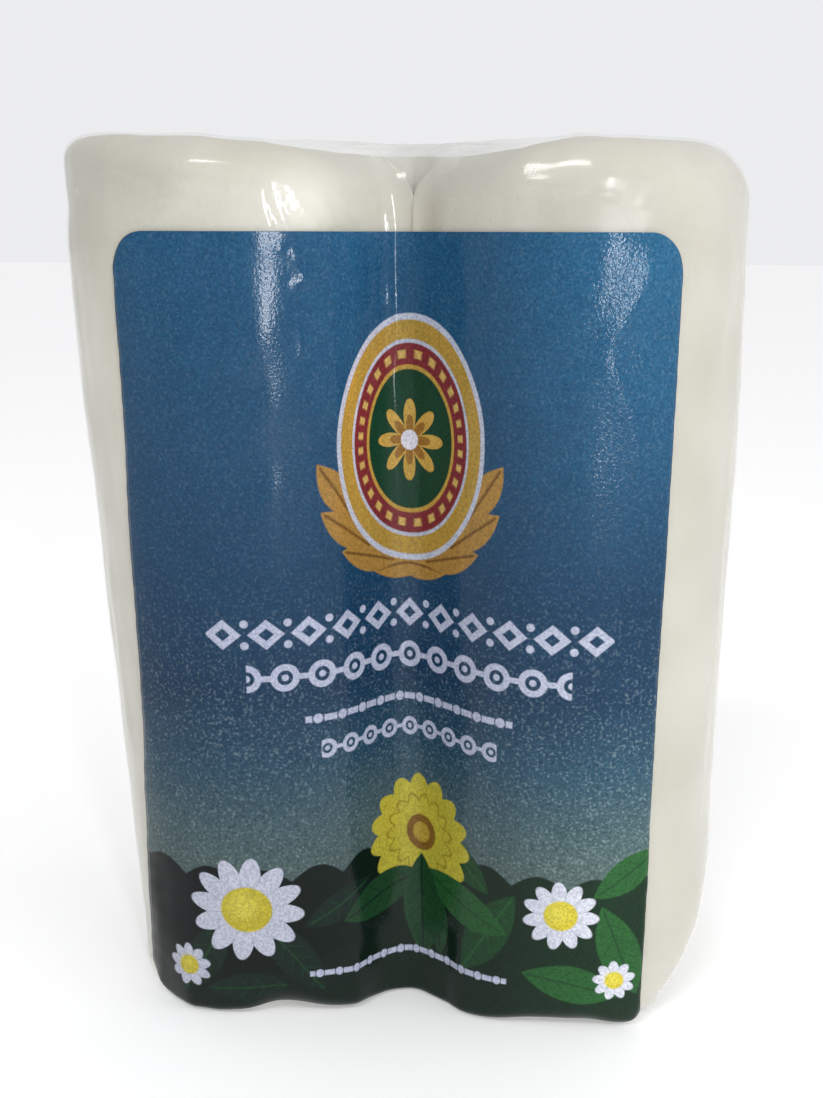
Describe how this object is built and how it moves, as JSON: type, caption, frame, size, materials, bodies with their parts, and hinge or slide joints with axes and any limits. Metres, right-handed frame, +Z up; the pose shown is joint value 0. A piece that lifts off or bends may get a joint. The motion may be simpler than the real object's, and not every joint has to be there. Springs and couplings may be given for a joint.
{
  "type": "goat cheese log vacuum pack",
  "caption": "Upright vacuum pack of short white goat cheese logs side by side in tight clear film, with a large curved label bridging the valley on the front.",
  "frame": {"origin": "centre of the footprint, on the surface the pack stands on", "axes": "+Z up along the logs, -Y out of the labelled front, +X to the right seen from the front"},
  "size_m": [0.069, 0.034, 0.0902],
  "materials": {
    "film_over_cheese": "clear glossy skin-tight film over smooth off-white cheese",
    "printed_label": "satin printed label, blue above and dark green below, with a fine grain"
  },
  "bodies": {
    "root": {"pack": "film_over_cheese", "label": "printed_label"}
  },
  "joints": []
}
